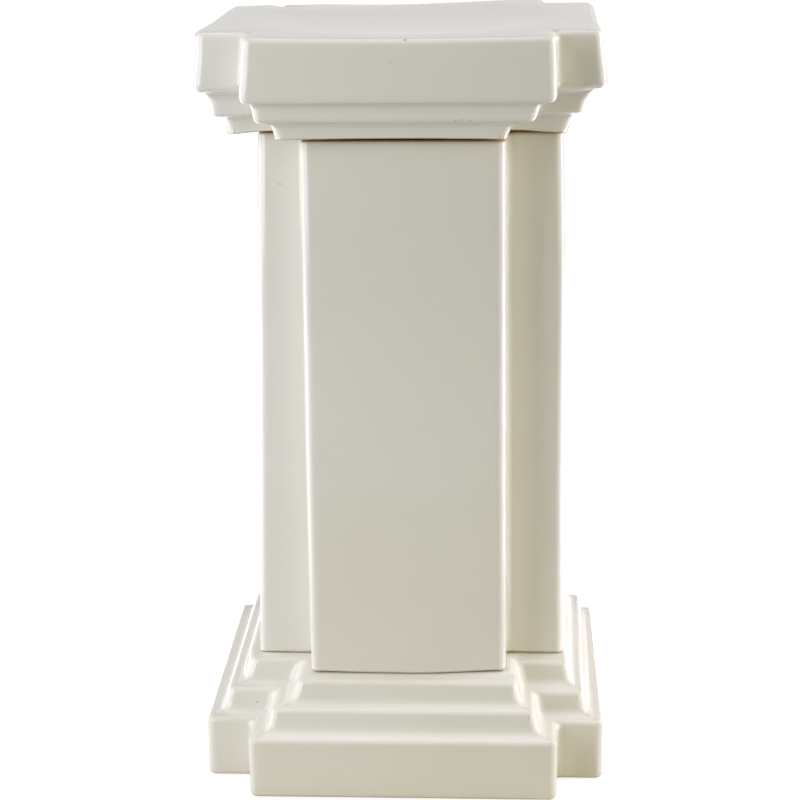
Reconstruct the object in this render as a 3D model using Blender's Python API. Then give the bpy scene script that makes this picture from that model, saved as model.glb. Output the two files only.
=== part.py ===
# Three-piece plant stand in glazed slip-cast ceramic: a stepped base, a plain shaft and a
# stepped cap with a shallow dished top. Every plan is a square with a square notch out of
# each corner. The three castings are hollow and only rest on each other. Metres, +Z up,
# front towards -Y, origin on the floor under the middle of the base.

import math

import bmesh
import bpy
from mathutils import Matrix, Vector

# Shaft: a hollow notched column, open at both ends, a little wider at its foot
SHAFT_LENGTH = 0.4385
SHAFT_FOOT_HALF = 0.1251
SHAFT_HEAD_HALF = 0.1207
SHAFT_FOOT_NOTCH = 0.0455
SHAFT_HEAD_NOTCH = 0.0430
SHAFT_WALL = 0.0080

# How the shaft was set down by hand: aside from the middle, and turned a little
SHAFT_ASIDE = 0.0050
SHAFT_TURN = math.radians(-0.8)

# Base: three tiers, each ledge measured in front of the tier that stands on it
BASE_LOWER_RISE = 0.0517
BASE_MIDDLE_RISE = 0.0192
BASE_UPPER_RISE = 0.0189
BASE_LOWER_NOTCH = 0.0389
BASE_MIDDLE_NOTCH = 0.0404
BASE_UPPER_NOTCH = 0.0425
BASE_LOWER_LEDGE = 0.0132
BASE_MIDDLE_LEDGE = 0.0101
BASE_PLATFORM_MARGIN = 0.0070
BASE_DRAFT = 0.0040
BASE_WALL = 0.0090

# Cap: a tall slab over two low tiers, the base's form turned over
CAP_LOWER_RISE = 0.0162
CAP_MIDDLE_RISE = 0.0171
CAP_SLAB_RISE = 0.0478
CAP_LOWER_NOTCH = 0.0456
CAP_MIDDLE_NOTCH = 0.0444
CAP_SLAB_NOTCH = 0.0394
CAP_SHAFT_MARGIN = 0.0100
CAP_LOWER_LEDGE = 0.0082
CAP_MIDDLE_LEDGE = 0.0099
CAP_DRAFT = 0.0038
CAP_SLAB_FLARE = 0.0029
CAP_WALL = 0.0090

# The dish in the cap's top, with a flat middle, and the pouring mouth in its underside
DISH_DEPTH = 0.0060
DISH_FLAT_HALF = 0.0700
DISH_FLAT_NOTCH = 0.0080
MOUTH_HALF = 0.0850
MOUTH_NOTCH = 0.0300

# Soft edges of the castings under their glaze
PLAN_ROUND = 0.0050
PLAN_FILLET = 0.0035
TIER_ROUND = 0.0045
TIER_FILLET = 0.0035
CAP_UNDER_ROUND = 0.0035
RIM_ROUND = 0.0012

# Air between a casting and the one that it rests on
SEAM = 0.0003

# Facets in each rounded corner, and rings in the slope of the dish
ARC_STEPS = 3
DISH_STEPS = 4
SMOOTH_ANGLE = math.radians(35)

# Cream glaze, in linear colour
GLAZE_COLOUR = (0.807, 0.788, 0.694, 1.0)
GLAZE_ROUGHNESS = 0.12


def clear_scene():
    """Start from an empty scene."""
    for thing in list(bpy.data.objects):
        bpy.data.objects.remove(thing, do_unlink=True)


def arc(before, corner, after, radius):
    """Points along the arc that rounds one corner of a flat outline."""
    back = (before - corner).normalized()
    ahead = (after - corner).normalized()
    half_angle = back.angle(ahead) / 2
    centre = corner + (back + ahead).normalized() * radius / math.sin(half_angle)
    reach = radius / math.tan(half_angle)
    first = corner + back * reach - centre
    last = corner + ahead * reach - centre
    points = []
    for step in range(ARC_STEPS + 1):
        share = step / ARC_STEPS
        points.append(centre + (first * (1 - share) + last * share).normalized() * radius)
    return points


def plan(half, notch, height):
    """The notched square at one height: twelve corners, each turned into an arc."""
    reach = half - notch
    quarter = (Vector((reach, -half)), Vector((reach, -reach)), Vector((half, -reach)))
    corners = []
    for turn in range(4):
        quarter_turn = Matrix.Rotation(math.pi / 2 * turn, 2)
        corners += [quarter_turn @ corner for corner in quarter]
    outer = min(PLAN_ROUND, notch * 0.4)
    inner = min(PLAN_FILLET, notch * 0.4)
    points = []
    for index, corner in enumerate(corners):
        ahead = corners[(index + 1) % len(corners)]
        radius = inner if index % 3 == 1 else outer
        points += arc(corners[index - 1], corner, ahead, radius)
    return [Vector((point.x, point.y, height)) for point in points]


def rings(stations):
    """Plans along a moulding profile, given as (half, height, notch, rounding) stations."""
    found = []
    for index, (half, height, notch, radius) in enumerate(stations):
        if radius == 0:
            found.append(plan(half, notch, height))
            continue
        before, corner, after = (
            Vector(stations[place][:2]) for place in (index - 1, index, index + 1)
        )
        for point in arc(before, corner, after, radius):
            found.append(plan(point.x, notch, point.y))
    return found


def glaze(name):
    """The cream glaze that covers one casting."""
    material = bpy.data.materials.new(name)
    material.use_nodes = True
    shader = material.node_tree.nodes["Principled BSDF"]
    shader.inputs["Base Color"].default_value = GLAZE_COLOUR
    shader.inputs["Roughness"].default_value = GLAZE_ROUGHNESS
    shader.inputs["Metallic"].default_value = 0.0
    return material


def casting(name, stations, parent, tube=False):
    """One hollow casting: a skin drawn from plan to plan, closed at its ends or into a tube."""
    shell = bmesh.new()
    loops = [[shell.verts.new(point) for point in ring] for ring in rings(stations)]
    if tube:
        loops.append(loops[0])
    else:
        shell.faces.new(loops[0])
        shell.faces.new(loops[-1])
    for start, end in zip(loops, loops[1:]):
        for place in range(len(start)):
            shell.faces.new((start[place - 1], start[place], end[place], end[place - 1]))
    bmesh.ops.recalc_face_normals(shell, faces=shell.faces)
    mesh = bpy.data.meshes.new(name)
    shell.to_mesh(mesh)
    shell.free()
    mesh.materials.append(glaze(name + "_glaze"))
    mesh.shade_smooth()
    mesh.set_sharp_from_angle(angle=SMOOTH_ANGLE)
    piece = bpy.data.objects.new(name, mesh)
    piece.parent = parent
    bpy.context.scene.collection.objects.link(piece)
    return piece


def make_base(parent):
    """The base: open underneath, closed on top by the platform that carries the shaft."""
    platform = SHAFT_FOOT_HALF + BASE_PLATFORM_MARGIN
    upper = platform + BASE_DRAFT
    middle_top = upper + BASE_MIDDLE_LEDGE
    middle = middle_top + BASE_DRAFT
    lower = middle + BASE_LOWER_LEDGE
    lower_top = BASE_LOWER_RISE
    middle_height = lower_top + BASE_MIDDLE_RISE
    height = middle_height + BASE_UPPER_RISE
    wall = BASE_WALL
    inside = [
        (platform - wall, height - wall, BASE_UPPER_NOTCH, 0),
        (upper - wall, middle_height - wall, BASE_UPPER_NOTCH, 0),
        (middle_top - wall, middle_height - wall, BASE_MIDDLE_NOTCH, 0),
        (middle - wall, lower_top - wall, BASE_MIDDLE_NOTCH, 0),
        (lower - wall, lower_top - wall, BASE_LOWER_NOTCH, 0),
        (lower - wall, 0, BASE_LOWER_NOTCH, 0),
    ]
    outside = [
        (lower, 0, BASE_LOWER_NOTCH, RIM_ROUND),
        (lower, lower_top, BASE_LOWER_NOTCH, TIER_ROUND),
        (middle, lower_top, BASE_MIDDLE_NOTCH, TIER_FILLET),
        (middle_top, middle_height, BASE_MIDDLE_NOTCH, TIER_ROUND),
        (upper, middle_height, BASE_UPPER_NOTCH, TIER_FILLET),
        (platform, height, BASE_UPPER_NOTCH, TIER_ROUND),
        (platform - wall, height, BASE_UPPER_NOTCH, 0),
    ]
    casting("base", inside + outside, parent)
    return height


def make_shaft(parent, seat):
    """The shaft: a tube whose foot rests on the base's platform."""
    wall = SHAFT_WALL
    stations = [
        (SHAFT_FOOT_HALF - wall, 0, SHAFT_FOOT_NOTCH, 0),
        (SHAFT_FOOT_HALF, 0, SHAFT_FOOT_NOTCH, RIM_ROUND),
        (SHAFT_HEAD_HALF, SHAFT_LENGTH, SHAFT_HEAD_NOTCH, RIM_ROUND),
        (SHAFT_HEAD_HALF - wall, SHAFT_LENGTH, SHAFT_HEAD_NOTCH, 0),
    ]
    shaft = casting("shaft", stations, parent, tube=True)
    shaft.location = (SHAFT_ASIDE, 0, seat)
    shaft.rotation_euler.z = SHAFT_TURN
    return seat + SHAFT_LENGTH


def dish(edge, height):
    """Stations of the dished top from its flat middle out to its edge."""
    stations = []
    for step in range(DISH_STEPS + 1):
        share = step / DISH_STEPS
        half = DISH_FLAT_HALF + (edge - DISH_FLAT_HALF) * share
        notch = DISH_FLAT_NOTCH + (CAP_SLAB_NOTCH - DISH_FLAT_NOTCH) * share
        stations.append((half, height - DISH_DEPTH * (1 - share * share), notch, 0))
    return stations


def make_cap(parent, seat):
    """The cap: closed and dished on top, with a flange underneath that sits on the shaft."""
    lower = SHAFT_HEAD_HALF + CAP_SHAFT_MARGIN
    lower_root = lower + CAP_DRAFT
    middle = lower_root + CAP_LOWER_LEDGE
    middle_root = middle + CAP_DRAFT
    slab = middle_root + CAP_MIDDLE_LEDGE
    slab_top = slab - CAP_SLAB_FLARE
    lower_height = CAP_LOWER_RISE
    middle_height = lower_height + CAP_MIDDLE_RISE
    height = middle_height + CAP_SLAB_RISE
    wall = CAP_WALL
    outside = dish(slab_top - 2 * TIER_ROUND, height) + [
        (slab_top, height, CAP_SLAB_NOTCH, TIER_ROUND),
        (slab, middle_height, CAP_SLAB_NOTCH, CAP_UNDER_ROUND),
        (middle_root, middle_height, CAP_MIDDLE_NOTCH, TIER_FILLET),
        (middle, lower_height, CAP_MIDDLE_NOTCH, CAP_UNDER_ROUND),
        (lower_root, lower_height, CAP_LOWER_NOTCH, TIER_FILLET),
        (lower, 0, CAP_LOWER_NOTCH, RIM_ROUND),
        (MOUTH_HALF, 0, MOUTH_NOTCH, 0),
    ]
    inside = [
        (MOUTH_HALF, wall, MOUTH_NOTCH, 0),
        (lower - wall, wall, CAP_LOWER_NOTCH, 0),
        (lower_root - wall, lower_height + wall, CAP_LOWER_NOTCH, 0),
        (middle - wall, lower_height + wall, CAP_MIDDLE_NOTCH, 0),
        (middle_root - wall, middle_height + wall, CAP_MIDDLE_NOTCH, 0),
        (slab - wall, middle_height + wall, CAP_SLAB_NOTCH, 0),
    ]
    ceiling = dish(slab_top - wall, height - wall)
    cap = casting("cap", outside + inside + ceiling[::-1], parent)
    cap.location = (0, 0, seat)


def make_stand():
    """The whole stand, each casting set on the one below it."""
    stand = bpy.data.objects.new("plant_stand", None)
    bpy.context.scene.collection.objects.link(stand)
    base_top = make_base(stand)
    shaft_top = make_shaft(stand, base_top + SEAM)
    make_cap(stand, shaft_top + SEAM)


clear_scene()
make_stand()
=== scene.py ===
import math

import bmesh
import bpy
from mathutils import Matrix, Vector, noise


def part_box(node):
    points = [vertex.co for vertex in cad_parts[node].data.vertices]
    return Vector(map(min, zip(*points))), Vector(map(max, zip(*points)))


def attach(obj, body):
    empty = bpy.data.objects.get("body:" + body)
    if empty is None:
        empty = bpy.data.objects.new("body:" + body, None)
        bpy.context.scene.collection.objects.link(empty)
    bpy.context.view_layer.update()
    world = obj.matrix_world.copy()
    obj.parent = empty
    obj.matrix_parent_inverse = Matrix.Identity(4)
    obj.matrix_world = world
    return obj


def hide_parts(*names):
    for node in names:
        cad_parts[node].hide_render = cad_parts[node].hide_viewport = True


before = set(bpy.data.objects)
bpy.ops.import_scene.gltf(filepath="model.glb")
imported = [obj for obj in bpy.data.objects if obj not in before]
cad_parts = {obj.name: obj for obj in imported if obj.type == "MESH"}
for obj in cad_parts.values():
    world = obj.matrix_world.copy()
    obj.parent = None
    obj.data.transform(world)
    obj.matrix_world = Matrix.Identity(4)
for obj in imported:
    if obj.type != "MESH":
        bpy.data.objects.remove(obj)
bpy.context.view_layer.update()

# Where each casting stands, read from the frame
BASE_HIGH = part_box("base")[1]
SHAFT_LOW, SHAFT_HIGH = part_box("shaft")
CAP_LOW, CAP_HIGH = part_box("cap")

# Base: three tiers, half widths and notches in metres, heights above the floor
BASE_LOWER_HALF = BASE_HIGH.x
BASE_MIDDLE_HALF = BASE_LOWER_HALF - 0.0124
BASE_MIDDLE_TOP_HALF = BASE_MIDDLE_HALF - 0.0040
BASE_UPPER_HALF = BASE_MIDDLE_TOP_HALF - 0.0101
BASE_PLATFORM_HALF = BASE_UPPER_HALF - 0.0040
BASE_LOWER_TOP = 0.0517
BASE_MIDDLE_TOP = BASE_LOWER_TOP + 0.0192
BASE_PLATFORM = BASE_HIGH.z
BASE_LOWER_NOTCH = 0.0389
BASE_MIDDLE_NOTCH = 0.0404
BASE_UPPER_NOTCH = 0.0425
BASE_WALL = 0.0090

# Shaft: a notched tube, set a little aside and turned a little on the base
SHAFT_ASIDE = 0.0050
SHAFT_TURN = math.radians(-0.8)
SHAFT_FOOT_HALF = 0.1255
SHAFT_HEAD_HALF = 0.1211
SHAFT_FOOT_NOTCH = 0.0455
SHAFT_HEAD_NOTCH = 0.0430
SHAFT_WALL = 0.0080

# Cap: a tall slab over two low tiers
CAP_SLAB_HALF = CAP_HIGH.x
CAP_TOP_HALF = CAP_SLAB_HALF - 0.0029
CAP_MIDDLE_ROOT_HALF = CAP_SLAB_HALF - 0.0087
CAP_MIDDLE_HALF = CAP_MIDDLE_ROOT_HALF - 0.0038
CAP_LOWER_ROOT_HALF = CAP_MIDDLE_HALF - 0.0082
CAP_LOWER_HALF = CAP_LOWER_ROOT_HALF - 0.0038
CAP_UNDERSIDE = CAP_LOW.z
CAP_LOWER_TOP = CAP_UNDERSIDE + 0.0162
CAP_MIDDLE_TOP = CAP_LOWER_TOP + 0.0171
CAP_TOP = CAP_HIGH.z
CAP_SLAB_NOTCH = 0.0394
CAP_MIDDLE_NOTCH = 0.0444
CAP_LOWER_NOTCH = 0.0456
CAP_WALL = 0.0090
MOUTH_HALF = 0.0850
MOUTH_NOTCH = 0.0300
DISH_DEPTH = 0.0060

# Radii of the softened edges, the widest of them, and the least turn of an edge that is softened
CORNER_ROUND = 0.0070
CORNER_FILLET = 0.0065
TIER_ROUND = 0.0050
TIER_FILLET = 0.0048
BASE_ROUND = 0.0040
BASE_FILLET = 0.0060
UNDER_ROUND = 0.0040
SLAB_UNDER_ROUND = 0.0062
FOOT_ROUND = 0.0045
SHAFT_FOOT_ROUND = 0.0022
SHAFT_HEAD_ROUND = 0.0028
RIM_ROUND = 0.0012
INNER_ROUND = 0.0028
WIDEST_ROUND = 0.0070
ROUND_SEGMENTS = 6
LEAST_TURN = math.radians(12)

# Spacing of the cuts that let the flat walls warp, of those in the dish, and beside a rounding,
# and the least distance between two of them
WALL_STEP = 0.0140
DISH_STEP = 0.0060
HOLD = 0.0015
LEAST_GAP = 0.0007

# The round dish in the cap's top, and how its top rolls over towards the edges
DISH_RADIUS = 0.1300
DISH_LIP = 1.15
EDGE_ROLL = 0.0003
ROLL_WIDTH = 0.0180
CORNER_DROOP = 0.0010
EDGE_SAG = 0.0015

# What drying and firing did, in metres. Where each of these sets in is said in the warps.
# To every wall: a slight unevenness, and how far its hollows lie apart
UNEVEN = 0.0002
UNEVEN_SIZE = 0.0900

# To the shaft: the foot rises, most at the right and at its front corners, and stands back in
# front; the left arm leans in towards the head, and the right arm stands out and bulges
FOOT_RISE, FOOT_TILT = 0.0009, 0.0030
FOOT_CORNER, FOOT_BACK = 0.0009, 0.0060
LEFT_OUT, LEFT_LEAN = 0.0020, 0.0074
RIGHT_OUT, RIGHT_BULGE = 0.0018, 0.0012

# To the base: the platform rises to the foot over a ramp, its front arm stands to the right, and
# the tiers fan out at the back right
FOOT_RAMP = 0.0060
PLATFORM_SHIFT = 0.0018
PLATFORM_LEAN = 0.0027
BACK_SKEW = 0.0055

# To the cap: it drifts left towards its underside, and its slab, which is this share of its
# height, flares and widens at the right
CAP_DRIFT, CAP_DRIFT_TOP = 0.0040, 0.0016
CAP_FLARE = 0.0017
CAP_FRONT_WIDER = 0.0020
SLAB_SHARE = 0.6

# To the cap's rims: the underside bows up, and the slab hangs in front and rises at its sides
CAP_LIFT = 0.0030
SLAB_FRONT_DROP = 0.0016
SLAB_SIDE_LIFT, RIGHT_LIFT = 0.0024, 0.0025

# To the cap's low tiers: wider front arms, and side arms that stand in or sink
MIDDLE_LEFT_WIDER, MIDDLE_RIGHT_WIDER = 0.0064, 0.0048
LOWER_LEFT_WIDER, LOWER_RIGHT_WIDER = 0.0042, -0.0015
MIDDLE_RIGHT_IN, MIDDLE_LEFT_DROP = 0.0020, 0.0018

# To the cap's top: two corners that stand out, and a sag at the back left
TOP_LEFT_OUT, TOP_RIGHT_OUT = 0.0028, 0.0026
BACK_SAG = 0.0027

# The glaze's two cream tones, its tone where it pools, the body seen through its thin edges, and
# how much of the pooled tone shows
GLAZE_LIGHT, GLAZE_DEEP = "#EEEBDF", "#EAE6D6"
GLAZE_POOLED, GLAZE_THIN = "#E2DCC6", "#B8975F"
POOL_STRENGTH = 0.25
GLAZE_ROUGHNESS, GLAZE_IOR = 0.1, 1.52

# Sizes in metres: the drift of colour, the patches on thin edges, the waves of the wall, and the
# coat's orange peel, which is drawn a little coarser than it is, so that it shows
CLOUD_SIZE = 0.110
PATCH_SIZE = 0.012
WAVE_SIZE, WAVE_DEPTH = 0.035, 0.00015
PEEL_SIZE, PEEL_DEPTH = 0.005, 0.000012

# Bare earthenware: its two buff tones, the size of its stains, and its sandy grain, which is
# drawn coarser than it is, so that it shows
BISCUIT_LIGHT, BISCUIT_DEEP = "#CDB78F", "#B79C70"
BISCUIT_ROUGHNESS = 0.85
STAIN_SIZE = 0.030
GRAIN_SIZE, GRAIN_DEPTH = 0.0015, 0.0001

# Iron specks: place, radius in metres and strength. Each is twice as wide as it is tall, and at
# its full strength over the middle share of its radius.
IRON = "#7A5F38"
SPECK_STRETCH = (0.5, 1.0, 1.0)
SPECK_CORE = 0.3
BASE_SPECKS = [(-0.1228, -0.1088, 0.0596, 0.0010, 0.3)]
SHAFT_SPECKS = [(-0.0949, -0.0768, 0.4881, 0.0014, 0.2)]
CAP_SPECKS = [(-0.0033, -0.1542, 0.5917, 0.0009, 0.25), (0.0437, -0.1433, 0.5468, 0.0010, 0.35),
              (0.0489, -0.1439, 0.5476, 0.0009, 0.25), (0.0548, -0.1433, 0.5468, 0.0010, 0.3),
              (0.0077, -0.1512, 0.6072, 0.0011, 0.8), (0.0025, -0.0861, 0.6062, 0.0010, 0.4)]

# Curvatures, in one over metres, between which glaze thins on an edge or pools in a hollow
THIN_FROM, THIN_FULL = 200, 650
POOL_FROM, POOL_FULL = 60, 240

# The camera, worked out from the stand's corners in the photograph: its place, its three turns,
# its lens and sensor in millimetres, and the rise of its lens
CAMERA_PLACE = (0.0734, -1.6053, 0.7643)
CAMERA_YAW = math.radians(2.85)
CAMERA_PITCH = math.radians(16.49)
CAMERA_ROLL = math.radians(0.66)
LENS, SENSOR = 89.04, 36
CAMERA_RISE = 0.0009

# The studio: what the soft boxes aim at, their watts and colours, and the light of the sky from
# behind and from the right, with how closely the first keeps to the horizon
MIDDLE = (0, 0, 0.3)
LEFT, LEFT_COLOUR = 11.2, "#F8FAFF"
LEFT_STRIP = 0.9
LEFT_FRONT, LEFT_FRONT_COLOUR = 16.8, "#EDF0FF"
RIGHT, RIGHT_COLOUR = 23.0, "#DFE1FF"
RIGHT_FRONT, RIGHT_FRONT_COLOUR = 3.2, "#FEFFD8"
TOP, TOP_COLOUR = 9.9, "#F3ECFF"
TOP_FRONT, TOP_FRONT_COLOUR = 1.8, "#D0F0FF"
SKY_BACK, SKY_LOWNESS = 0.72, 4.5
SKY_RIGHT, SKY_RIGHT_COLOUR = 0.94, "#FFEEA0"

# The floor: its half width in metres and its colour
FLOOR_HALF = 60.0
FLOOR_COLOUR = "#969696"

# Its brightness to the camera near the stand and far from it, and the distances between which
# that changes
FLOOR_GLOW_NEAR, FLOOR_GLOW_FAR = 0.80, 1.0
GLOW_FROM, GLOW_FULL = 0.22, 0.60

# The warm light that the paper circle gives, and the circle's radius and soft edge
FLOOR_LIGHT, FLOOR_LIGHT_COLOUR = 0.28, "#FFEAAA"
PAPER_EDGE, PAPER_SOFTNESS = 0.45, 0.06

# Its shine in reflections near the stand, further off and far away, the distances between which
# that changes, and the share left in front, between two cosines of the angle from straight ahead
SHINE_NEAR, SHINE, SHINE_FAR = 0.9, 2.8, 0.4
SHINE_FROM, SHINE_FULL = 0.35, 0.60
SHINE_FADES, SHINE_FADED = 1.5, 2.0
SHINE_FRONT = 0.15
FRONT_FROM, FRONT_FULL = 0.2, 0.9


def notched_square(shape, half, notch, height):
    """A flat notched square: a grid of three by three faces without its corner ones."""
    bmesh.ops.create_grid(shape, x_segments=3, y_segments=3, size=half)
    corners = []
    for face in shape.faces:
        middle = face.calc_center_median()
        if min(abs(middle.x), abs(middle.y)) > half / 2:
            corners.append(face)
    bmesh.ops.delete(shape, geom=corners, context="FACES")
    set_level(list(shape.verts), half, notch, height)
    return list(shape.faces)


def set_level(verts, half, notch, height):
    """Moves the twelve corners of a level to its half width, notch and height."""
    outermost = max(abs(vert.co.x) for vert in verts)
    for vert in verts:
        for axis in (0, 1):
            outer = abs(vert.co[axis]) > outermost * 0.9
            vert.co[axis] = math.copysign(half if outer else half - notch, vert.co[axis])
        vert.co.z = height


def rim_edges(faces):
    """The edges round the outside of a patch of faces."""
    patch = set(faces)
    edges = {edge for face in faces for edge in face.edges}
    return [edge for edge in edges if len(patch.intersection(edge.link_faces)) == 1]


def round_rim(faces, radius, radii):
    """Gives the edges round the outside of a patch of faces their radius."""
    for edge in rim_edges(faces):
        edge[radii] = radius / WIDEST_ROUND


def extrude_levels(shape, faces, levels, radii, keep_first=False):
    """Extrudes a patch through (half, notch, height, radius) levels, and notes each rim's radius."""
    for half, notch, height, radius in levels:
        grown = bmesh.ops.extrude_face_region(shape, geom=faces)["geom"]
        if not keep_first:
            bmesh.ops.delete(shape, geom=faces, context="FACES")
        keep_first = False
        faces = [part for part in grown if isinstance(part, bmesh.types.BMFace)]
        verts = [part for part in grown if isinstance(part, bmesh.types.BMVert)]
        set_level(verts, half, notch, height)
        round_rim(faces, radius, radii)
    return faces


def weigh_corners(shape, radii):
    """Gives each upright edge its radius, and leaves flat edges sharp."""
    shape.normal_update()
    for edge in shape.edges:
        if len(edge.link_faces) != 2:
            continue
        turn = edge.calc_face_angle_signed(0.0)
        run = edge.verts[1].co - edge.verts[0].co
        if abs(turn) < LEAST_TURN:
            edge[radii] = 0.0
        elif abs(run.z) > max(abs(run.x), abs(run.y)):
            corner = CORNER_ROUND if turn > 0 else CORNER_FILLET
            edge[radii] = corner / WIDEST_ROUND


def rounded(shape, name):
    """The casting's mesh with every weighted edge rounded to its own radius."""
    rough = bpy.data.meshes.new(name + "_rough")
    shape.to_mesh(rough)
    shape.free()
    block = bpy.data.objects.new(name + "_rough", rough)
    bpy.context.scene.collection.objects.link(block)
    bevel = block.modifiers.new("soft edges", "BEVEL")
    bevel.limit_method = "WEIGHT"
    bevel.width = WIDEST_ROUND
    bevel.segments = ROUND_SEGMENTS
    bevel.use_clamp_overlap = False
    depsgraph = bpy.context.evaluated_depsgraph_get()
    soft = bpy.data.meshes.new_from_object(block.evaluated_get(depsgraph))
    bpy.data.objects.remove(block, do_unlink=True)
    bpy.data.meshes.remove(rough)
    fine = bmesh.new()
    fine.from_mesh(soft)
    bpy.data.meshes.remove(soft)
    return fine


def along(axis):
    """The unit vector of an axis."""
    normal = Vector((0, 0, 0))
    normal[axis] = 1
    return normal


def cut_at(shape, axis, places):
    """Cuts the whole casting across one axis at each of the places."""
    normal = along(axis)
    for place in places:
        geometry = list(shape.verts) + list(shape.edges) + list(shape.faces)
        bmesh.ops.bisect_plane(shape, geom=geometry, plane_co=normal * place, plane_no=normal)


def spread(low, high, step):
    """Evenly spaced places from low to high, about a step apart."""
    count = max(1, round((high - low) / step))
    return [low + (high - low) * place / count for place in range(count + 1)]


def cut_walls(shape, levels, low, high, extra=()):
    """Cuts the long flat walls into short faces, with a close cut on each side of a rounding.

    Further cuts go at the extra distances from the middle.
    """
    outermost = max(level[0] for level in levels)
    places = set(round(place, 4) for place in spread(0, outermost, WALL_STEP)[:-1]) | set(extra)
    for half, notch, _, _ in levels:
        for place in (half - notch - CORNER_ROUND - HOLD, half - notch + CORNER_FILLET + HOLD,
                      half - CORNER_ROUND - HOLD):
            places.add(round(place, 4))
    kept = []
    for place in sorted(places):
        if not kept or place - kept[-1] > LEAST_GAP:
            kept.append(place)
    both = sorted({-place for place in kept} | set(kept))
    cut_at(shape, 0, both)
    cut_at(shape, 1, both)
    cut_at(shape, 2, spread(low, high, WALL_STEP)[1:-1])


def ease(value, low, high):
    """Nought up to low, one from high on, and a smooth rise between."""
    share = min(1.0, max(0.0, (value - low) / (high - low)))
    return share * share * (3 - 2 * share)


def warp(shape, shift):
    """Moves every vertex by what a function of its place gives."""
    for vert in shape.verts:
        vert.co += Vector(shift(*vert.co))


def settle(shape):
    """Makes the fired walls slightly uneven, always inwards from their drawn planes."""
    shape.normal_update()
    for vert in shape.verts:
        depth = UNEVEN * (0.5 + 0.5 * noise.noise(vert.co / UNEVEN_SIZE))
        vert.co -= Vector((vert.normal.x, vert.normal.y, 0)) * depth


def mark_glaze(shape):
    """Notes where the glaze thins over an edge and where it pools in a hollow."""
    thin = shape.verts.layers.float.new("glaze_thin")
    pooled = shape.verts.layers.float.new("glaze_pooled")
    shape.normal_update()
    bends = {}
    for edge in shape.edges:
        widest = max(face.calc_area() for face in edge.link_faces)
        bends[edge] = edge.calc_face_angle_signed() * edge.calc_length() / widest
    for vert in shape.verts:
        around = [bends[edge] for edge in vert.link_edges]
        vert[thin] = ease(max(around), THIN_FROM, THIN_FULL)
        vert[pooled] = ease(-min(around), POOL_FROM, POOL_FULL)


def make_piece(name, shape, cad_node, specks):
    """Turns a finished shape into a piece that stands for its CAD node."""
    mesh = bpy.data.meshes.new(name)
    bmesh.ops.dissolve_degenerate(shape, edges=shape.edges, dist=1e-5)
    bmesh.ops.recalc_face_normals(shape, faces=shape.faces)
    settle(shape)
    mark_glaze(shape)
    shape.to_mesh(mesh)
    shape.free()
    mesh.materials.append(cream_glaze(name + "_cream_glaze", specks))
    mesh.materials.append(biscuit(name + "_biscuit"))
    mesh.shade_smooth()
    piece = bpy.data.objects.new(name, mesh)
    bpy.context.scene.collection.objects.link(piece)
    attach(piece, "root")
    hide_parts(cad_node)


def leave_bare(shape, glazed):
    """Gives the biscuit material to every face made after the glazed ones."""
    for face in shape.faces:
        face.material_index = 0 if face in glazed else 1


def new_casting(half, notch, height, radius):
    """A shape with its layer of edge radii and its first, flat level, rounded at its rim."""
    shape = bmesh.new()
    radii = shape.edges.layers.float.new("bevel_weight_edge")
    faces = notched_square(shape, half, notch, height)
    round_rim(faces, radius, radii)
    return shape, radii, faces


def facing_down(shape, height):
    """The faces of the first level, which look down once the casting stands on them."""
    shape.normal_update()
    return [face for face in shape.faces
            if face.normal.z < -0.9 and abs(face.calc_center_median().z - height) < 1e-6]


def make_base():
    """The base: tiers outside, and the hollow drawn up from under the foot rim."""
    wall = BASE_WALL
    shape, radii, faces = new_casting(BASE_LOWER_HALF, BASE_LOWER_NOTCH, 0, FOOT_ROUND)
    outside = [
        (BASE_LOWER_HALF, BASE_LOWER_NOTCH, BASE_LOWER_TOP, BASE_ROUND),
        (BASE_MIDDLE_HALF, BASE_MIDDLE_NOTCH, BASE_LOWER_TOP, BASE_FILLET),
        (BASE_MIDDLE_TOP_HALF, BASE_MIDDLE_NOTCH, BASE_MIDDLE_TOP, BASE_ROUND),
        (BASE_UPPER_HALF, BASE_UPPER_NOTCH, BASE_MIDDLE_TOP, BASE_FILLET),
        (BASE_PLATFORM_HALF, BASE_UPPER_NOTCH, BASE_PLATFORM, BASE_ROUND),
    ]
    inside = [
        (BASE_LOWER_HALF - wall, BASE_LOWER_NOTCH, 0, RIM_ROUND),
        (BASE_LOWER_HALF - wall, BASE_LOWER_NOTCH, BASE_LOWER_TOP - wall, INNER_ROUND),
        (BASE_MIDDLE_HALF - wall, BASE_MIDDLE_NOTCH, BASE_LOWER_TOP - wall, INNER_ROUND),
        (BASE_MIDDLE_TOP_HALF - wall, BASE_MIDDLE_NOTCH, BASE_MIDDLE_TOP - wall, INNER_ROUND),
        (BASE_UPPER_HALF - wall, BASE_UPPER_NOTCH, BASE_MIDDLE_TOP - wall, INNER_ROUND),
        (BASE_PLATFORM_HALF - wall, BASE_UPPER_NOTCH, BASE_PLATFORM - wall, INNER_ROUND),
    ]
    extrude_levels(shape, faces, outside, radii, keep_first=True)
    glazed = set(shape.faces)
    extrude_levels(shape, facing_down(shape, 0), inside, radii)
    leave_bare(shape, glazed)
    weigh_corners(shape, radii)
    shape = rounded(shape, "base")
    ramp = [half + aside for half in (SHAFT_FOOT_HALF - SHAFT_FOOT_NOTCH, SHAFT_FOOT_HALF - FOOT_BACK)
            for aside in (0, FOOT_RAMP / 3, FOOT_RAMP * 2 / 3, FOOT_RAMP)]
    cut_walls(shape, outside, 0, BASE_PLATFORM, ramp)
    warp(shape, base_warp)
    make_piece("stepped_base", shape, "base", BASE_SPECKS)


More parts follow.
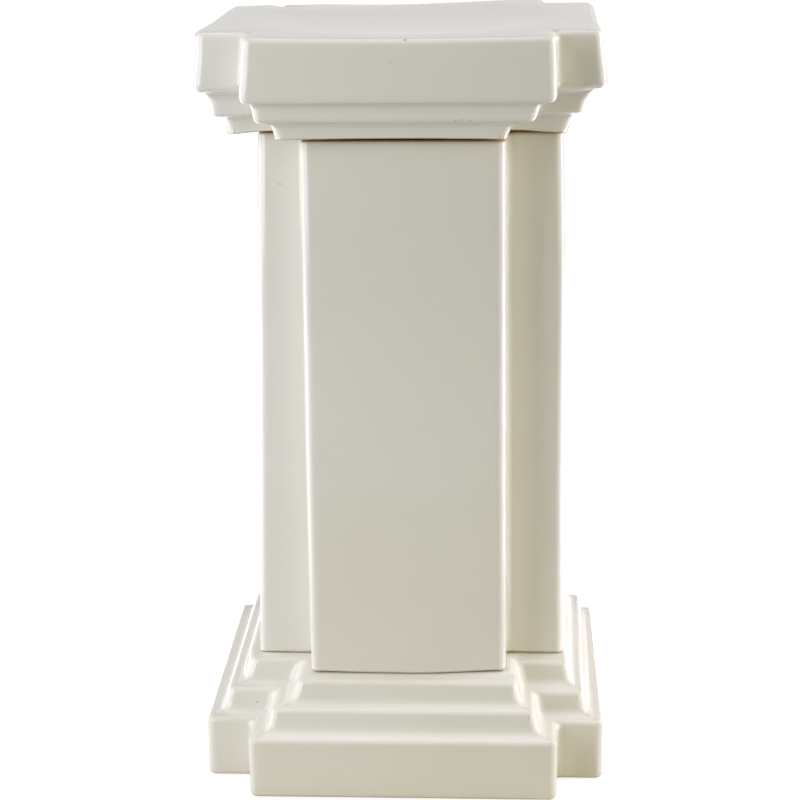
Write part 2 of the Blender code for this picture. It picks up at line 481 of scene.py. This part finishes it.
def base_warp(x, y, z):
    """The upper tier's front arm stands to the right, and the tiers' right side fans out.

    The platform rises to meet the shaft's foot.
    """
    reach = BASE_UPPER_HALF - BASE_UPPER_NOTCH
    arm = ease(-y, reach * 0.7, reach)
    tier = ease(z, BASE_MIDDLE_TOP - 0.002, BASE_MIDDLE_TOP + 0.003)
    lean = PLATFORM_LEAN * ease(z, BASE_MIDDLE_TOP, BASE_PLATFORM) * ease(-x, 0.04, 0.08)
    above = ease(z, BASE_LOWER_TOP - 0.002, BASE_LOWER_TOP + 0.003)
    skew = BACK_SKEW * ease(x, 0, BASE_UPPER_HALF) * ease(y, -BASE_UPPER_HALF, BASE_UPPER_HALF)
    rise = (foot_rise(x - SHAFT_ASIDE) * ease(foot_inset(x - SHAFT_ASIDE, y), -FOOT_RAMP, 0.0005)
            * ease(z, BASE_PLATFORM - 0.004, BASE_PLATFORM - 0.0005))
    return arm * tier * (PLATFORM_SHIFT + lean) + above * skew, 0, rise


def foot_rise(x):
    """How far the shaft's warped foot, and the platform under it, rise at a place across."""
    return FOOT_RISE + FOOT_TILT * ease(x, 0, 0.080)


def foot_inset(x, y):
    """How far inside the shaft's foot a place is, or how far outside it when less than nought."""
    half, reach = SHAFT_FOOT_HALF, SHAFT_FOOT_HALF - SHAFT_FOOT_NOTCH
    ahead = half - FOOT_BACK if y < 0 else half
    return max(min(half - abs(x), reach - abs(y)), min(reach - abs(x), ahead - abs(y)))


def make_shaft():
    """The shaft: a tall notched block, its two ends opened and joined by the inner wall."""
    wall = SHAFT_WALL
    foot, head = SHAFT_LOW.z, SHAFT_HIGH.z
    shape, radii, faces = new_casting(SHAFT_FOOT_HALF, SHAFT_FOOT_NOTCH, foot, SHAFT_FOOT_ROUND)
    outside = [(SHAFT_HEAD_HALF, SHAFT_HEAD_NOTCH, head, SHAFT_HEAD_ROUND)]
    above = [(SHAFT_HEAD_HALF - wall, SHAFT_HEAD_NOTCH, head, RIM_ROUND)]
    below = [(SHAFT_FOOT_HALF - wall, SHAFT_FOOT_NOTCH, foot, RIM_ROUND)]
    upper = extrude_levels(shape, faces, outside, radii, keep_first=True)
    glazed = set(shape.faces)
    upper = extrude_levels(shape, upper, above, radii)
    lower = extrude_levels(shape, facing_down(shape, foot), below, radii)
    ends = rim_edges(upper) + rim_edges(lower)
    bmesh.ops.delete(shape, geom=upper + lower, context="FACES")
    bmesh.ops.bridge_loops(shape, edges=ends)
    leave_bare(shape, glazed)
    weigh_corners(shape, radii)
    shape = rounded(shape, "shaft")
    cut_walls(shape, outside, foot, head)
    warp(shape, shaft_warp)
    turn = Matrix.Rotation(SHAFT_TURN, 4, "Z")
    bmesh.ops.transform(shape, matrix=turn, verts=shape.verts)
    bmesh.ops.translate(shape, vec=(SHAFT_ASIDE, 0, 0), verts=shape.verts)
    make_piece("plain_shaft", shape, "shaft", SHAFT_SPECKS)


def shaft_warp(x, y, z):
    """The foot rises to the right and at its corners and stands back, and the side arms lean."""
    half, reach = SHAFT_FOOT_HALF, SHAFT_FOOT_HALF - SHAFT_FOOT_NOTCH
    away = min(math.hypot(abs(x) - half, abs(y) - reach), math.hypot(abs(x) - reach, abs(y) - half))
    height = z - SHAFT_LOW.z
    share = height / (SHAFT_HIGH.z - SHAFT_LOW.z)
    front = ease(-y, reach, reach + 0.020)
    rise = foot_rise(x) + FOOT_CORNER * (1 - ease(away, 0, 0.050)) * front
    back = FOOT_BACK * front * (1 - ease(height, 0, 0.160))
    left = (LEFT_LEAN * share - LEFT_OUT) * ease(-x, reach, reach + 0.030)
    bulge = RIGHT_BULGE * ease(share, 0.3, 0.7) * (1 - ease(share, 0.75, 1.0))
    right = (RIGHT_OUT + bulge) * ease(x, reach, reach + 0.030)
    return left + right, back, rise * (1 - ease(height, 0, 0.040))


def make_cap():
    """The cap: low tiers and slab outside, and the hollow drawn up through the mouth."""
    wall = CAP_WALL
    shape, radii, faces = new_casting(CAP_LOWER_HALF, CAP_LOWER_NOTCH, CAP_UNDERSIDE, RIM_ROUND)
    outside = [
        (CAP_LOWER_ROOT_HALF, CAP_LOWER_NOTCH, CAP_LOWER_TOP, TIER_FILLET),
        (CAP_MIDDLE_HALF, CAP_MIDDLE_NOTCH, CAP_LOWER_TOP, UNDER_ROUND),
        (CAP_MIDDLE_ROOT_HALF, CAP_MIDDLE_NOTCH, CAP_MIDDLE_TOP, TIER_FILLET),
        (CAP_SLAB_HALF, CAP_SLAB_NOTCH, CAP_MIDDLE_TOP, SLAB_UNDER_ROUND),
        (CAP_TOP_HALF, CAP_SLAB_NOTCH, CAP_TOP, TIER_ROUND),
    ]
    ceiling = CAP_TOP - DISH_DEPTH - wall
    inside = [
        (MOUTH_HALF, MOUTH_NOTCH, CAP_UNDERSIDE, RIM_ROUND),
        (MOUTH_HALF, MOUTH_NOTCH, CAP_UNDERSIDE + wall, RIM_ROUND),
        (CAP_LOWER_HALF - wall, CAP_LOWER_NOTCH, CAP_UNDERSIDE + wall, INNER_ROUND),
        (CAP_LOWER_ROOT_HALF - wall, CAP_LOWER_NOTCH, CAP_LOWER_TOP + wall, INNER_ROUND),
        (CAP_MIDDLE_HALF - wall, CAP_MIDDLE_NOTCH, CAP_LOWER_TOP + wall, INNER_ROUND),
        (CAP_MIDDLE_ROOT_HALF - wall, CAP_MIDDLE_NOTCH, CAP_MIDDLE_TOP + wall, INNER_ROUND),
        (CAP_SLAB_HALF - wall, CAP_SLAB_NOTCH, CAP_MIDDLE_TOP + wall, INNER_ROUND),
        (CAP_TOP_HALF - wall, CAP_SLAB_NOTCH, ceiling, INNER_ROUND),
    ]
    extrude_levels(shape, faces, outside, radii, keep_first=True)
    glazed = set(shape.faces)
    extrude_levels(shape, facing_down(shape, CAP_UNDERSIDE), inside, radii)
    leave_bare(shape, glazed)
    weigh_corners(shape, radii)
    shape = rounded(shape, "cap")
    cut_walls(shape, outside, CAP_UNDERSIDE, CAP_TOP)
    cut_dish(shape)
    warp(shape, sink_dish)
    warp(shape, cap_warp)
    make_piece("stepped_cap", shape, "cap", CAP_SPECKS)


def cut_dish(shape):
    """Cuts the flat top of the cap finely enough for the dish, and leaves the rest as it is."""
    for axis in (0, 1):
        normal = along(axis)
        for place in spread(-CAP_TOP_HALF, CAP_TOP_HALF, DISH_STEP)[1:-1]:
            top = [face for face in shape.faces if face.calc_center_median().z > CAP_TOP - 1e-5]
            edges = {edge for face in top for edge in face.edges}
            verts = {vert for face in top for vert in face.verts}
            bmesh.ops.bisect_plane(
                shape, geom=[*verts, *edges, *top], plane_co=normal * place, plane_no=normal)


def sink_dish(x, y, z):
    """The top: a round dish, edges that roll over and sag, and a back left that droops a little."""
    half = CAP_TOP_HALF - TIER_ROUND
    reach = half - CAP_SLAB_NOTCH
    aside, ahead = abs(x), abs(y)
    inset = max(min(half - aside, reach - ahead), min(reach - aside, half - ahead))
    roll = EDGE_ROLL * (1 - min(1.0, max(0.0, inset / ROLL_WIDTH))) ** 2
    corner = max(nearness(half - aside) * nearness(reach - ahead),
                 nearness(reach - aside) * nearness(half - ahead))
    droop = CORNER_DROOP * corner * ease(y - x, 0, half)
    sag = EDGE_SAG * max(0.0, 1 - (x / reach) ** 2)
    back_sag = BACK_SAG * ease(y, 0.06, 0.14) * ease(x, -0.122, -0.110) * (1 - ease(x, -0.03, 0.10))
    round_share = max(0.0, 1 - (x * x + y * y) / DISH_RADIUS ** 2)
    dish = (DISH_DEPTH - EDGE_SAG) * round_share ** DISH_LIP
    upper = ease(z, CAP_TOP - 0.020, CAP_TOP - 0.004)
    return 0, 0, -upper * (roll + droop + sag + back_sag + dish)


def nearness(gap):
    """One at an edge and beyond it, falling smoothly to nothing at twice the roll's width."""
    return 1 - ease(gap, 0, 2 * ROLL_WIDTH)


def cap_warp(x, y, z):
    """The cap drifts left towards its underside, flares to the right, and its rims bow.

    Its low tiers and the corners of its top are off in their own ways.
    """
    down = (CAP_TOP - z) / (CAP_TOP - CAP_UNDERSIDE)
    reach = CAP_TOP_HALF - CAP_SLAB_NOTCH
    slab = ease(z, CAP_MIDDLE_TOP - 0.004, CAP_MIDDLE_TOP + 0.002)
    right = ease(x, reach, CAP_TOP_HALF)
    drift = CAP_DRIFT_TOP - CAP_DRIFT * down * down
    flare = CAP_FLARE * right * (2 * down / SLAB_SHARE - 1) * slab
    flank = (ease(x, 0.05, 0.10) * (1 - ease(x, reach + 0.010, reach + 0.025))
             * ease(-y, reach * 0.7, reach * 0.95))
    front = ease(-y, reach, reach + 0.02)
    edge = slab * (1 - ease(z, CAP_MIDDLE_TOP, CAP_MIDDLE_TOP + 0.025))
    side_lift = SLAB_SIDE_LIFT + RIGHT_LIFT * ease(x, CAP_SLAB_HALF - 0.030, CAP_SLAB_HALF)
    drop = edge * (side_lift * (1 - front) - SLAB_FRONT_DROP * front)
    lower = CAP_LOWER_HALF - CAP_LOWER_NOTCH
    across = 0.67 + 0.33 * max(0.0, 1 - (x / lower) ** 2)
    outer = 1 - ease(abs(x), lower + 0.008, CAP_LOWER_HALF - 0.004)
    near = ease(abs(y), lower * 0.5, lower * 0.9)
    lift = CAP_LIFT * near * across * outer * (1 - ease(z - CAP_UNDERSIDE, 0, 0.013))
    tiers, sink = tier_warp(x, y, z)
    corners = top_corners(x, y, z)
    return drift + flare + CAP_FRONT_WIDER * flank * slab + tiers + corners, 0, drop + lift - sink


def tier_warp(x, y, z):
    """The two low tiers' front arms are wider than drawn, and the side arms' edges a little off."""
    reach = CAP_MIDDLE_HALF - CAP_MIDDLE_NOTCH
    middle = (ease(z, CAP_LOWER_TOP - 0.003, CAP_LOWER_TOP)
              * (1 - ease(z, CAP_MIDDLE_TOP - 0.0015, CAP_MIDDLE_TOP)))
    lower = 1 - ease(z, CAP_LOWER_TOP - 0.003, CAP_LOWER_TOP)
    arm = ease(-y, reach * 0.7, reach * 0.90) * (1 - ease(abs(x), reach + 0.010, reach + 0.028))
    left, right = arm * ease(-x, 0.03, reach * 0.88), arm * ease(x, 0.03, reach * 0.88)
    shift = middle * (MIDDLE_RIGHT_WIDER * right - MIDDLE_LEFT_WIDER * left)
    shift += lower * (LOWER_RIGHT_WIDER * right - LOWER_LEFT_WIDER * left)
    shift -= middle * MIDDLE_RIGHT_IN * ease(x, reach + 0.010, reach + 0.035)
    sink = (MIDDLE_LEFT_DROP * ease(-x, reach, reach + 0.020)
            * ease(z, CAP_LOWER_TOP - 0.006, CAP_LOWER_TOP)
            * (1 - ease(z, CAP_LOWER_TOP, CAP_MIDDLE_TOP)))
    return shift, sink


def top_corners(x, y, z):
    """At the top, the left arm's front corner and the right arm's back corner stand further out."""
    upper = ease(z, CAP_TOP - 0.007, CAP_TOP)
    left = upper * ease(-x, 0.120, 0.150) * ease(-y, 0.030, 0.100)
    upper = ease(z, CAP_TOP - 0.040, CAP_TOP - 0.010)
    right = upper * ease(x, 0.120, 0.150) * ease(y, -0.040, 0.100)
    return TOP_RIGHT_OUT * right - TOP_LEFT_OUT * left


def linear(code):
    """A linear colour from an sRGB hex code."""
    channels = [int(code[place:place + 2], 16) / 255 for place in (1, 3, 5)]
    curve = [c / 12.92 if c <= 0.04045 else ((c + 0.055) / 1.055) ** 2.4 for c in channels]
    return (*curve, 1.0)


def node(tree, kind, settings=None, inputs=None):
    """Adds a shader node with its settings, input values and links."""
    added = tree.nodes.new(kind)
    for name, value in (settings or {}).items():
        setattr(added, name, value)
    for name, value in (inputs or {}).items():
        if isinstance(value, bpy.types.NodeSocket):
            tree.links.new(value, added.inputs[name])
        else:
            added.inputs[name].default_value = value
    return added


def cream_glaze(name, specks):
    """Gloss cream glaze on slip-cast earthenware: a smooth, wet-looking coat over a pale body."""
    material = bpy.data.materials.new(name)
    material.use_nodes = True
    tree = material.node_tree
    tree.nodes.clear()
    place = node(tree, "ShaderNodeTexCoord").outputs["Object"]
    # The coat is sprayed by hand, so its depth of colour drifts over a hand's breadth
    clouds = node(tree, "ShaderNodeTexNoise", inputs={
        "Vector": place, "Scale": 1 / CLOUD_SIZE, "Detail": 2.0, "Roughness": 0.5})
    colour = node(tree, "ShaderNodeMix", {"data_type": "RGBA"}, {
        "Factor": clouds.outputs["Fac"], 6: linear(GLAZE_LIGHT), 7: linear(GLAZE_DEEP)})
    # It runs off the edges, where the buff body shows through, and into the hollows
    pooled = node(tree, "ShaderNodeAttribute", {"attribute_name": "glaze_pooled"})
    deep = node(tree, "ShaderNodeMath", {"operation": "MULTIPLY"}, {
        0: pooled.outputs["Fac"], 1: POOL_STRENGTH})
    colour = node(tree, "ShaderNodeMix", {"data_type": "RGBA"}, {
        "Factor": deep.outputs[0], 6: colour.outputs[2], 7: linear(GLAZE_POOLED)})
    thin = node(tree, "ShaderNodeAttribute", {"attribute_name": "glaze_thin"})
    patchy = node(tree, "ShaderNodeTexNoise", inputs={
        "Vector": place, "Scale": 1 / PATCH_SIZE, "Detail": 2.0, "Roughness": 0.6})
    worn = node(tree, "ShaderNodeMath", {"operation": "MULTIPLY"}, {
        0: thin.outputs["Fac"], 1: patchy.outputs["Fac"]})
    colour = node(tree, "ShaderNodeMix", {"data_type": "RGBA"}, {
        "Factor": worn.outputs[0], 6: colour.outputs[2], 7: linear(GLAZE_THIN)})
    # Iron specks from the clay
    for x, y, z, radius, strength in specks:
        away = node(tree, "ShaderNodeVectorMath", {"operation": "SUBTRACT"}, {0: place, 1: (x, y, z)})
        away = node(tree, "ShaderNodeVectorMath", {"operation": "MULTIPLY"}, {
            0: away.outputs["Vector"], 1: SPECK_STRETCH})
        away = node(tree, "ShaderNodeVectorMath", {"operation": "LENGTH"}, {0: away.outputs["Vector"]})
        dot = node(tree, "ShaderNodeMapRange", {"interpolation_type": "SMOOTHSTEP"}, {
            "Value": away.outputs["Value"], "From Min": radius * SPECK_CORE, "From Max": radius,
            "To Min": strength, "To Max": 0.0})
        colour = node(tree, "ShaderNodeMix", {"data_type": "RGBA"}, {
            "Factor": dot.outputs["Result"], 6: colour.outputs[2], 7: linear(IRON)})
    # The wall under it is slightly wavy, and the coat has a faint orange peel
    waves = node(tree, "ShaderNodeTexNoise", inputs={
        "Vector": place, "Scale": 1 / WAVE_SIZE, "Detail": 1.0, "Roughness": 0.4})
    swell = node(tree, "ShaderNodeBump", inputs={
        "Strength": 1.0, "Distance": WAVE_DEPTH, "Height": waves.outputs["Fac"]})
    peel = node(tree, "ShaderNodeTexNoise", inputs={
        "Vector": place, "Scale": 1 / PEEL_SIZE, "Detail": 1.0, "Roughness": 0.4})
    skin = node(tree, "ShaderNodeBump", inputs={
        "Strength": 1.0, "Distance": PEEL_DEPTH, "Height": peel.outputs["Fac"],
        "Normal": swell.outputs["Normal"]})
    shader = node(tree, "ShaderNodeBsdfPrincipled", inputs={
        "Base Color": colour.outputs[2], "Roughness": GLAZE_ROUGHNESS, "IOR": GLAZE_IOR,
        "Normal": skin.outputs["Normal"]})
    node(tree, "ShaderNodeOutputMaterial", inputs={"Surface": shader.outputs["BSDF"]})
    return material


def biscuit(name):
    """Bare buff earthenware: matt and sandy, where the castings stand and inside them."""
    material = bpy.data.materials.new(name)
    material.use_nodes = True
    tree = material.node_tree
    tree.nodes.clear()
    place = node(tree, "ShaderNodeTexCoord").outputs["Object"]
    grain = node(tree, "ShaderNodeTexNoise", inputs={
        "Vector": place, "Scale": 1 / GRAIN_SIZE, "Detail": 3.0, "Roughness": 0.6})
    stain = node(tree, "ShaderNodeTexNoise", inputs={
        "Vector": place, "Scale": 1 / STAIN_SIZE, "Detail": 2.0, "Roughness": 0.5})
    colour = node(tree, "ShaderNodeMix", {"data_type": "RGBA"}, {
        "Factor": stain.outputs["Fac"], 6: linear(BISCUIT_LIGHT), 7: linear(BISCUIT_DEEP)})
    pits = node(tree, "ShaderNodeBump", inputs={
        "Strength": 1.0, "Distance": GRAIN_DEPTH, "Height": grain.outputs["Fac"]})
    shader = node(tree, "ShaderNodeBsdfPrincipled", inputs={
        "Base Color": colour.outputs[2], "Roughness": BISCUIT_ROUGHNESS,
        "Normal": pits.outputs["Normal"]})
    node(tree, "ShaderNodeOutputMaterial", inputs={"Surface": shader.outputs["BSDF"]})
    return material


def soft_box(name, place, width, height, power, colour):
    """A rectangular studio light aimed at the middle of the stand."""
    lamp = bpy.data.lights.new(name, "AREA")
    lamp.shape = "RECTANGLE"
    lamp.size = width
    lamp.size_y = height
    lamp.energy = power
    lamp.color = linear(colour)[:3]
    light = bpy.data.objects.new(name, lamp)
    light.location = place
    light.rotation_euler = (Vector(MIDDLE) - Vector(place)).to_track_quat("-Z", "Y").to_euler()
    light.visible_camera = False
    bpy.context.scene.collection.objects.link(light)


def make_floor():
    """A grey floor, with a circle of white paper that lights the stand warmly from below.

    It looks white to the camera, and shines in reflections beside and behind the stand.
    """
    shape = bmesh.new()
    bmesh.ops.create_grid(shape, x_segments=1, y_segments=1, size=FLOOR_HALF)
    mesh = bpy.data.meshes.new("floor")
    shape.to_mesh(mesh)
    shape.free()
    floor = bpy.data.objects.new("floor", mesh)
    bpy.context.scene.collection.objects.link(floor)
    material = bpy.data.materials.new("white_paper")
    material.use_nodes = True
    tree = material.node_tree
    tree.nodes.clear()
    place = node(tree, "ShaderNodeTexCoord").outputs["Object"]
    distance = node(tree, "ShaderNodeVectorMath", {"operation": "LENGTH"}, {0: place})
    # The paper's light, the shine near and far, and the glow all change with the distance
    faded = []
    for start, end, inner, outer in (
            (PAPER_EDGE - PAPER_SOFTNESS, PAPER_EDGE + PAPER_SOFTNESS, FLOOR_LIGHT, 0.0),
            (SHINE_FROM, SHINE_FULL, SHINE_NEAR, SHINE),
            (SHINE_FADES, SHINE_FADED, 1.0, SHINE_FAR / SHINE),
            (GLOW_FROM, GLOW_FULL, FLOOR_GLOW_NEAR, FLOOR_GLOW_FAR)):
        fade = node(tree, "ShaderNodeMapRange", {"interpolation_type": "SMOOTHSTEP"}, {
            "Value": distance.outputs["Value"], "From Min": start, "From Max": end,
            "To Min": inner, "To Max": outer})
        faded.append(fade.outputs["Result"])
    bounce, near, far, glow = faded
    bounce = node(tree, "ShaderNodeVectorMath", {"operation": "MULTIPLY"}, {
        0: bounce, 1: linear(FLOOR_LIGHT_COLOUR)[:3]})
    # Its shine is strongest beside and behind the stand
    side = node(tree, "ShaderNodeVectorMath", {"operation": "NORMALIZE"}, {0: place})
    side = node(tree, "ShaderNodeVectorMath", {"operation": "DOT_PRODUCT"}, {
        0: side.outputs["Vector"], 1: (0, -1, 0)})
    shine = node(tree, "ShaderNodeMapRange", {"interpolation_type": "SMOOTHSTEP"}, {
        "Value": side.outputs["Value"], "From Min": FRONT_FROM, "From Max": FRONT_FULL,
        "To Min": 1.0, "To Max": SHINE_FRONT})
    shine = node(tree, "ShaderNodeMath", {"operation": "MULTIPLY"}, {
        0: shine.outputs["Result"], 1: near})
    shine = node(tree, "ShaderNodeMath", {"operation": "MULTIPLY"}, {0: shine.outputs[0], 1: far})
    path = node(tree, "ShaderNodeLightPath")
    light = node(tree, "ShaderNodeMix", {"data_type": "RGBA"}, {
        "Factor": path.outputs["Is Glossy Ray"], 6: bounce.outputs["Vector"], 7: shine.outputs[0]})
    light = node(tree, "ShaderNodeMix", {"data_type": "RGBA"}, {
        "Factor": path.outputs["Is Camera Ray"], 6: light.outputs[2], 7: glow})
    shader = node(tree, "ShaderNodeBsdfPrincipled", inputs={
        "Base Color": linear(FLOOR_COLOUR), "Roughness": 0.9, "Specular IOR Level": 0.2,
        "Emission Color": light.outputs[2], "Emission Strength": 1.0})
    node(tree, "ShaderNodeOutputMaterial", inputs={"Surface": shader.outputs["BSDF"]})
    mesh.materials.append(material)


def make_camera():
    """The camera of the photograph."""
    lens = bpy.data.cameras.new("camera")
    lens.lens = LENS
    lens.sensor_width = SENSOR
    lens.shift_y = CAMERA_RISE
    camera = bpy.data.objects.new("camera", lens)
    turn = Matrix.Rotation(CAMERA_YAW, 4, "Z")
    tilt = Matrix.Rotation(math.pi / 2 - CAMERA_PITCH, 4, "X")
    roll = Matrix.Rotation(-CAMERA_ROLL, 4, "Z")
    camera.matrix_world = Matrix.Translation(CAMERA_PLACE) @ turn @ tilt @ roll
    bpy.context.scene.collection.objects.link(camera)
    bpy.context.scene.camera = camera


def make_lights():
    """Soft boxes left, right and above."""
    soft_box("left", (-1.3, 0, 0.6), 1.0, 1.6, LEFT, LEFT_COLOUR)
    soft_box("left_strip", (-0.9, 0.15, 0.4), 0.25, 1.0, LEFT_STRIP, LEFT_COLOUR)
    soft_box("left_front", (-1.1, -1.1, 0.8), 0.9, 1.4, LEFT_FRONT, LEFT_FRONT_COLOUR)
    soft_box("right", (1.3, 0, 0.6), 0.35, 1.6, RIGHT, RIGHT_COLOUR)
    soft_box("right_front", (1.1, -1.1, 0.8), 0.9, 1.4, RIGHT_FRONT, RIGHT_FRONT_COLOUR)
    soft_box("top", (0, 0, 2.0), 1.6, 1.2, TOP, TOP_COLOUR)
    soft_box("top_front", (0, -1.2, 1.9), 1.6, 1.0, TOP_FRONT, TOP_FRONT_COLOUR)


def make_sky():
    """A white sky to look at, whose light comes from the right, and from low behind the stand."""
    world = bpy.data.worlds.new("studio")
    bpy.context.scene.world = world
    world.use_nodes = True
    tree = world.node_tree
    tree.nodes.clear()
    kind = "ShaderNodeMath"
    place = node(tree, "ShaderNodeTexCoord").outputs["Generated"]
    split = node(tree, "ShaderNodeSeparateXYZ", inputs={0: place})
    high = node(tree, kind, {"operation": "MULTIPLY"}, {0: split.outputs["Z"], 1: split.outputs["Z"]})
    low = node(tree, kind, {"operation": "SUBTRACT"}, {0: 1.0, 1: high.outputs[0]})
    low = node(tree, kind, {"operation": "POWER"}, {0: low.outputs[0], 1: SKY_LOWNESS})
    back = node(tree, kind, {"operation": "MAXIMUM"}, {0: split.outputs["Y"], 1: 0.0})
    back = node(tree, kind, {"operation": "MULTIPLY"}, {0: back.outputs[0], 1: back.outputs[0]})
    back = node(tree, kind, {"operation": "MULTIPLY"}, {0: back.outputs[0], 1: low.outputs[0]})
    back = node(tree, kind, {"operation": "MULTIPLY"}, {0: back.outputs[0], 1: SKY_BACK})
    right = node(tree, kind, {"operation": "MAXIMUM"}, {0: split.outputs["X"], 1: 0.0})
    right = node(tree, kind, {"operation": "MULTIPLY"}, {0: right.outputs[0], 1: right.outputs[0]})
    right = node(tree, kind, {"operation": "MULTIPLY"}, {0: right.outputs[0], 1: SKY_RIGHT})
    light = node(tree, "ShaderNodeVectorMath", {"operation": "MULTIPLY_ADD"}, {
        0: right.outputs[0], 1: linear(SKY_RIGHT_COLOUR)[:3], 2: back.outputs[0]})
    seen = node(tree, "ShaderNodeLightPath").outputs["Is Camera Ray"]
    colour = node(tree, "ShaderNodeMix", {"data_type": "RGBA"}, {
        "Factor": seen, 6: light.outputs[0], 7: linear("#FFFFFF")})
    shader = node(tree, "ShaderNodeBackground", inputs={
        "Color": colour.outputs[2], "Strength": 1.0})
    node(tree, "ShaderNodeOutputWorld", inputs={"Surface": shader.outputs[0]})


make_camera()
make_floor()
make_lights()
make_sky()
make_base()
make_shaft()
make_cap()
bpy.context.scene.view_settings.view_transform = "Standard"
